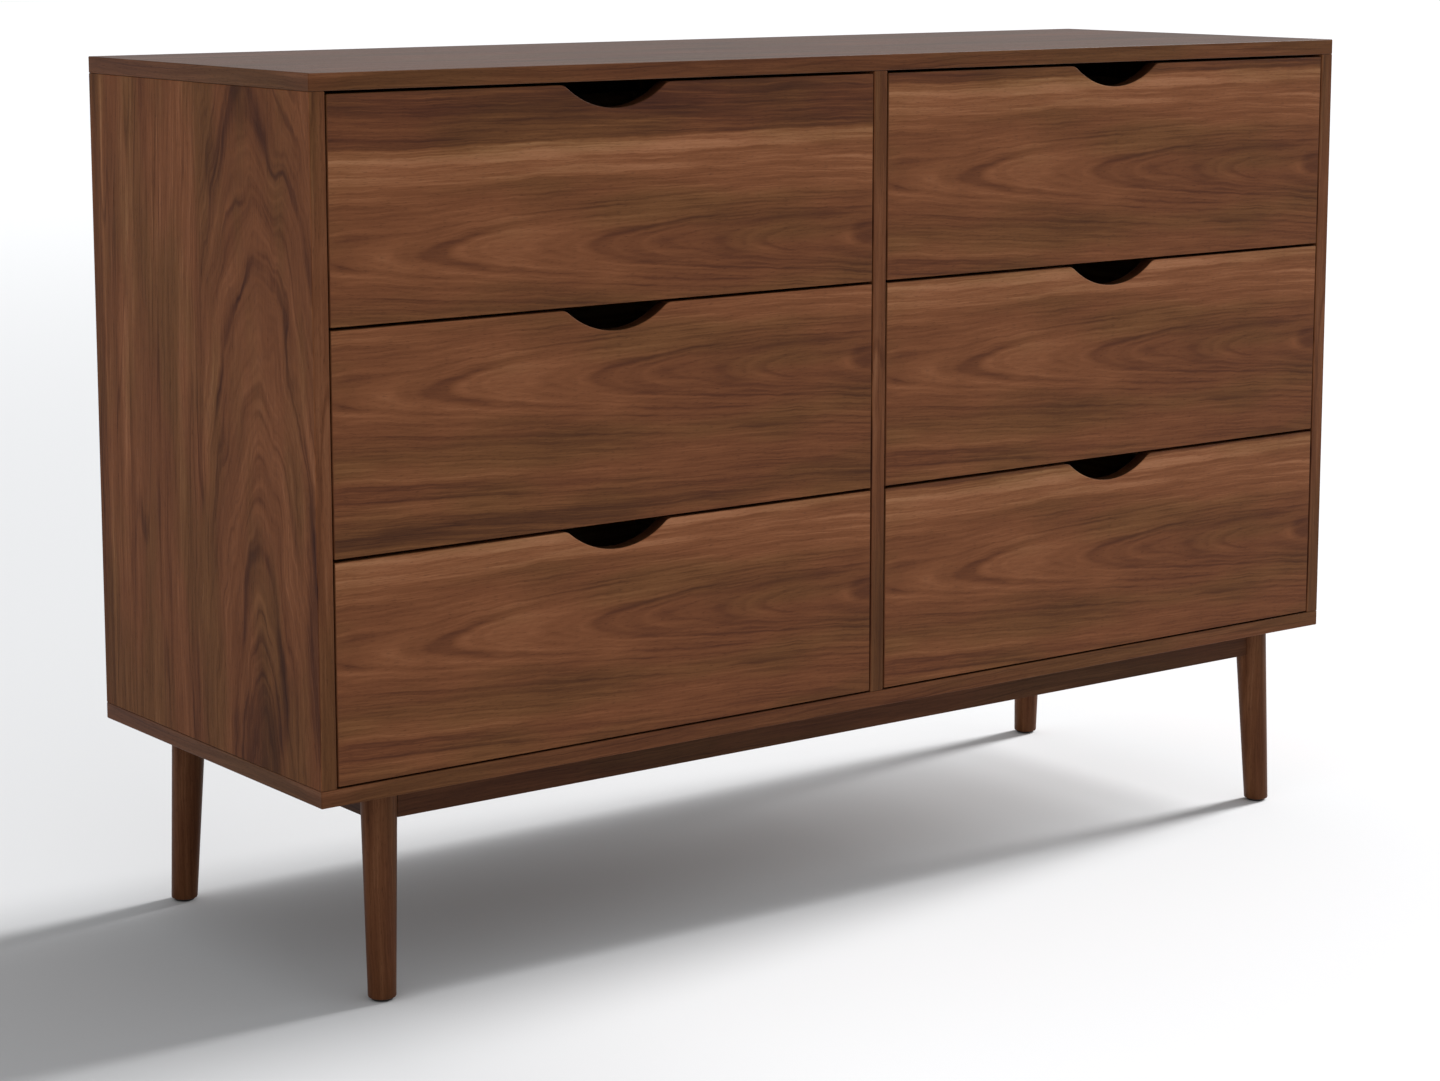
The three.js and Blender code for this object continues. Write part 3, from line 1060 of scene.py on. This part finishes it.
# %% [markdown]
# ## The base frame
# A leg is turned, so it is drawn as rings that are pulled up from the foot. It leans by moving
# each ring sideways as it rises, which keeps the foot and the top level. The rails are coped: the
# round of the leg is cut out of each end.

# %% Legs
RING_SIDES = 64
FOOT_ROUND = 0.0016
LEG_RINGS = 7


def turned_leg(node, name, grow=0.0):
    """A leg of the frame's own size. grow makes a fatter one, for cutting the rails."""
    points = [v.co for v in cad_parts[node].data.vertices]
    low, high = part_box(node)

    def ring_at(z):
        level = [p for p in points if abs(p.z - z) < 0.0001]
        left, right = min(p.x for p in level), max(p.x for p in level)
        middle = sum(level, Vector()) / len(level)
        return Vector(((left + right) / 2, middle.y, z)), (right - left) / 2

    heights = sorted({round(p.z, 5) for p in points})
    foot, foot_radius = ring_at(heights[-2])
    top, top_radius = ring_at(heights[-1])
    sole = Vector((foot.x, foot.y, low.z))
    rings = [
        (sole, foot_radius - FOOT_ROUND + grow),
        (foot.lerp(sole, 0.55), foot_radius - FOOT_ROUND * 0.28 + grow),
    ]
    for part in range(LEG_RINGS):
        up = part / (LEG_RINGS - 1)
        rings.append((foot.lerp(top, up), foot_radius + (top_radius - foot_radius) * up + grow))
    return pull_rings(rings, RING_SIDES, name)


def underside(low, high):
    return Vector(((low.x + high.x) / 2, (low.y + high.y) / 2, low.z))


CORNERS = [(y, x) for y in ("front", "rear") for x in ("left", "right")]
for y, x in CORNERS:
    node = f"leg_{y}_{x}"
    leg = turned_leg(node, node + "_turned")
    smooth_by_angle(leg)
    heart = underside(*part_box(node))
    lay_grain(leg, lambda normal, _: (UP, RIGHT, BACK, heart, leg_walnut))
    finish_piece(leg, "case", node)
print("four legs", [round(v, 4) for v in leg.dimensions])

# %% Rails, coped to the legs
COPE = 0.0003
RAIL_ENDS = {
    "rail_front": ("leg_front_left", "leg_front_right"),
    "rail_rear": ("leg_rear_left", "leg_rear_right"),
    "rail_left": ("leg_front_left", "leg_rear_left"),
    "rail_right": ("leg_front_right", "leg_rear_right"),
}
RAIL_ARRIS = 0.0012
RAIL_SCREW_END = 0.080
RAIL_WELL = 0.008
WELL = ((-0.0026, 0.0018), (0.0, 0.0036), (0.0004, 0.0042), (0.009, 0.0042))

well = turned_up(WELL, 24, "well")
rail_screws = []
for node, legs in RAIL_ENDS.items():
    low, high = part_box(node)
    rail = cube_between(low, high, node + "_coped")
    for leg_node in legs:
        carve(rail, turned_leg(leg_node, "coping", grow=COPE))
    run = RIGHT if high.x - low.x > high.y - low.y else BACK
    middle = underside(low, high)
    half = (high - low).dot(run) / 2 - RAIL_SCREW_END
    deep = [(middle + run * half * step + UP * RAIL_WELL, DOWN) for step in (-1, 0, 1)]
    soften(rail, radius=RAIL_ARRIS)
    drill(rail, set_in(well, deep, "wells"))
    rail_screws += deep
    lay_grain(rail, lambda normal, _: (run, DOWN, RIGHT + BACK - run, low, rail_walnut))
    finish_piece(rail, "case", node)
bpy.data.objects.remove(well)
rail_screw_set = set_in(screw, rail_screws, "rail_screws")
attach(rail_screw_set, "case")
print("four rails,", len(rail_screws), "screws")

# %% [markdown]
# ## The back
# The back is one sheet of stained plywood in the rebate. Panel pins hold it every hundred
# millimetres or so, round its rim and down the middle where the divider is.

# %% The back and its pins
PIN_INSET = 0.0034
PIN_COUNT_X = 12
PIN_COUNT_Z = 6
PIN_END_X = 0.025
PIN_END_Z = 0.045


def even(first, last, count):
    return [first + (last - first) * i / (count - 1) for i in range(count)]


back_sheet = cube_between(back_low, back_high, "back_panel_sheet")
soften(back_sheet, radius=0.0004, steps=2)
lay_grain(back_sheet, board_grain(back_low, back_high, 1, RIGHT, UP, back_ply, back_edge))
finish_piece(back_sheet, "case", "back_panel")

pin_x = even(back_low.x + PIN_END_X, back_high.x - PIN_END_X, PIN_COUNT_X)
pin_z = even(back_low.z + PIN_END_Z, back_high.z - PIN_END_Z, PIN_COUNT_Z)
pin_places = [((x, back_high.y, z), BACK) for x in pin_x
              for z in (back_low.z + PIN_INSET, back_high.z - PIN_INSET)]
pin_places += [((x, back_high.y, z), BACK) for z in pin_z
               for x in (back_low.x + PIN_INSET, 0.0, back_high.x - PIN_INSET)]
back_pins = set_in(pin, pin_places, "back_pins")
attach(back_pins, "case")
print("the back,", len(pin_places), "pins")

# %% [markdown]
# ## Drawer boxes
# Each box is two sides, a back and a bottom. The sides are grooved outside for the runner and
# inside for the bottom, and the bottom passes under the back. A left and a right side are
# modelled once and copied to the other drawers. Two cam fittings in each side pull the front
# tight: discs let into the inner face with a cross for the driver.

# %% Sides, back and bottom of one drawer
CAM = ((-0.0018, 0.0070), (-0.0002, 0.0072), (0.0, 0.0070))
CAM_HOLE = ((-0.0020, 0.0075), (0.001, 0.0075))
CAM_CROSS = (0.0042, 0.0008, 0.0013)
CAM_BACK = 0.024
CAM_HEIGHTS = (0.034, 0.118)
FIRST = "bottom_left"
ROUTER_PLAY = 0.0002
RUNNER_PLAY = 0.0005
RUNNER_FACE_PLAY = 0.001
BOX_ARRIS = 0.0010

cam = turned_up(CAM, 32, "cam")
cross_cut(cam, *CAM_CROSS)
smooth_by_angle(cam)
dress(cam, zinc)
cam_hole = turned_up(CAM_HOLE, 32, "hole")


def cam_places(low, high, hand):
    x, outward = (high.x, RIGHT) if hand == "left" else (low.x, -RIGHT)
    return [((x, low.y + CAM_BACK, low.z + z), outward) for z in CAM_HEIGHTS]


def drawer_side(hand):
    low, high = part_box(f"{FIRST}_side_{hand}")
    sheet_low, sheet_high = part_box(f"{FIRST}_bottom")
    runner_low, runner_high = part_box(f"{FIRST}_runner_{hand}")
    side = cube_between(low, high, f"{FIRST}_side_{hand}_grooved")
    carve(side, cube_between(
        (sheet_low.x - ROUTER_PLAY, low.y - PAST, sheet_low.z),
        (sheet_high.x + ROUTER_PLAY, high.y + PAST, sheet_high.z), "groove",
    ))
    # The runner's groove is open at the outer face and at the rear.
    if hand == "left":
        left, right = low.x - PAST, runner_high.x + RUNNER_FACE_PLAY
    else:
        left, right = runner_low.x - RUNNER_FACE_PLAY, high.x + PAST
    carve(side, cube_between(
        (left, runner_low.y - RUNNER_PLAY, runner_low.z - RUNNER_PLAY),
        (right, high.y + PAST, runner_high.z + RUNNER_PLAY), "groove",
    ))
    soften(side, radius=BOX_ARRIS)
    drill(side, set_in(cam_hole, cam_places(low, high, hand), "holes"))
    return side


def flat_board(node, name, **arris):
    board = cube_between(*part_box(node), name)
    soften(board, **arris)
    return board


box_masters = {
    "side_left": drawer_side("left"),
    "side_right": drawer_side("right"),
    "back": flat_board(f"{FIRST}_back", "back", radius=BOX_ARRIS),
    "bottom": flat_board(f"{FIRST}_bottom", "bottom", radius=0.0003, steps=2),
}
print("box pieces:", {k: len(v.data.polygons) for k, v in box_masters.items()})

# %% Six boxes
# For each part: its thin axis, the way its grain runs, the way across it, its woods and its slot.
BOX_PARTS = {
    "side_left": (0, BACK, UP, box_wood, end_wood, "drawer_box_wood"),
    "side_right": (0, BACK, UP, box_wood, end_wood, "drawer_box_wood"),
    "back": (1, RIGHT, UP, box_wood, end_wood, "drawer_box_wood"),
    "bottom": (2, RIGHT, BACK, birch_ply, birch_edge, "drawer_bottom_plywood"),
}
LEAF_SHIFT = 0.013

for row, bay in DRAWERS:
    drawer = f"{row}_{bay}"
    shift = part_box(f"{drawer}_back")[0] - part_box(f"{FIRST}_back")[0]
    # Each box is cut from another stretch of the same boards.
    stretch = Vector((0, LEAF_SHIFT * (ROWS.index(row) + len(ROWS) * BAYS.index(bay)), 0))
    cams = []
    for part, master in box_masters.items():
        thin, along, across, face_wood, band_wood, slot = BOX_PARTS[part]
        node = f"{drawer}_{part}"
        low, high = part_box(node)
        piece = copy_to(master, shift, node + "_made")
        lay_grain(piece, board_grain(
            low - stretch, high, thin, along, across, face_wood, band_wood,
        ))
        finish_piece(piece, f"{drawer}_drawer", node)
        if part.startswith("side"):
            cams += cam_places(low, high, part.split("_")[1])
    cam_set = set_in(cam, cams, f"{drawer}_cams")
    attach(cam_set, f"{drawer}_drawer")
for master in box_masters.values():
    bpy.data.objects.remove(master)
print("six drawer boxes")

# %% [markdown]
# ## Runners
# A drawer hangs on two strips of beech that are screwed to the case. Both ends of a strip are
# rounded, so the same strip turned about serves the other side.

# %% Twelve runners and their screws
RUNNER_SCREWS = 3
RUNNER_END = 0.030
RUNNER_ARRIS = 0.0014
HEAD_SINK = 0.0001

runner_low, runner_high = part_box(f"{FIRST}_runner_left")
runner_middle = (runner_low + runner_high) / 2
runner_places = [
    (Vector((runner_high.x, y, runner_middle.z)), RIGHT)
    for y in even(runner_low.y + RUNNER_END, runner_high.y - RUNNER_END, RUNNER_SCREWS)
]
runner_master = cube_between(runner_low, runner_high, "runner")
soften(runner_master, radius=RUNNER_ARRIS)
drill(runner_master, set_in(sink, runner_places, "sinks"))


def turned_about(point, middle, facing):
    """A point of the first runner, moved to the runner at middle. facing is 1, or -1 for one that
    is turned about."""
    away = point - runner_middle
    return middle + Vector((away.x * facing, away.y * facing, away.z))


screw_places = []
for row, bay in DRAWERS:
    for hand, facing in (("left", 1), ("right", -1)):
        node = f"{row}_{bay}_runner_{hand}"
        low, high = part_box(node)
        middle = (low + high) / 2
        strip = copy_to(runner_master, Vector(), node + "_strip")
        for vertex in strip.data.vertices:
            vertex.co = turned_about(vertex.co, middle, facing)
        lay_grain(strip, board_grain(low, high, 0, BACK, UP, runner_beech, runner_beech))
        finish_piece(strip, "case", node)
        for point, outward in runner_places:
            outward = outward * facing
            place = turned_about(point, middle, facing) - outward * HEAD_SINK
            screw_places.append((place, outward))
bpy.data.objects.remove(runner_master)
runner_screws = set_in(screw, screw_places, "runner_screws")
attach(runner_screws, "case")
print("twelve runners,", len(screw_places), "screws")

# %% [markdown]
# ## Glides
# A glide is a nylon disc with a rounded rim and a nail through its middle. The nail's head sits
# in a recess, so that it doesn't scratch the floor.

# %% Four glides
# The rim: (part of the height, how far in). The recess: (height, radius).
GLIDE_RIM = ((1.0, 0.0), (0.35, 0.0), (0.1, 0.0005), (0.0, 0.0013))
GLIDE_RECESS = ((0.0, 0.0042), (0.0008, 0.0032), (0.0009, 0.0008))
NAIL_HEIGHT = 0.0009

glide_low, glide_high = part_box("glide_front_left")
glide_radius = (glide_high.x - glide_low.x) / 2
glide_height = glide_high.z - glide_low.z
rim = [(glide_height * up, glide_radius - inset) for up, inset in GLIDE_RIM]
glide = turned_up((*rim, *GLIDE_RECESS), 48, "glide")
smooth_by_angle(glide, 50)
dress(glide, nylon)
nails = []
for y, x in CORNERS:
    node = f"glide_{y}_{x}"
    low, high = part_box(node)
    middle = (low + high) / 2
    disc = copy_to(glide, Vector((middle.x, middle.y, 0)), node + "_disc")
    finish_piece(disc, "case", node)
    nails.append((Vector((middle.x, middle.y, NAIL_HEIGHT)), DOWN))
bpy.data.objects.remove(glide)
glide_nails = set_in(pin, nails, "glide_nails")
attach(glide_nails, "case")
for spare in (screw, pin, sink, cam, cam_hole):
    bpy.data.objects.remove(spare)
print("four glides")

# %% Measure and finish
def plain(vector):
    return [round(float(v), 5) for v in vector]


low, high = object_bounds()
print("box of the finished dresser:", plain(high - low))
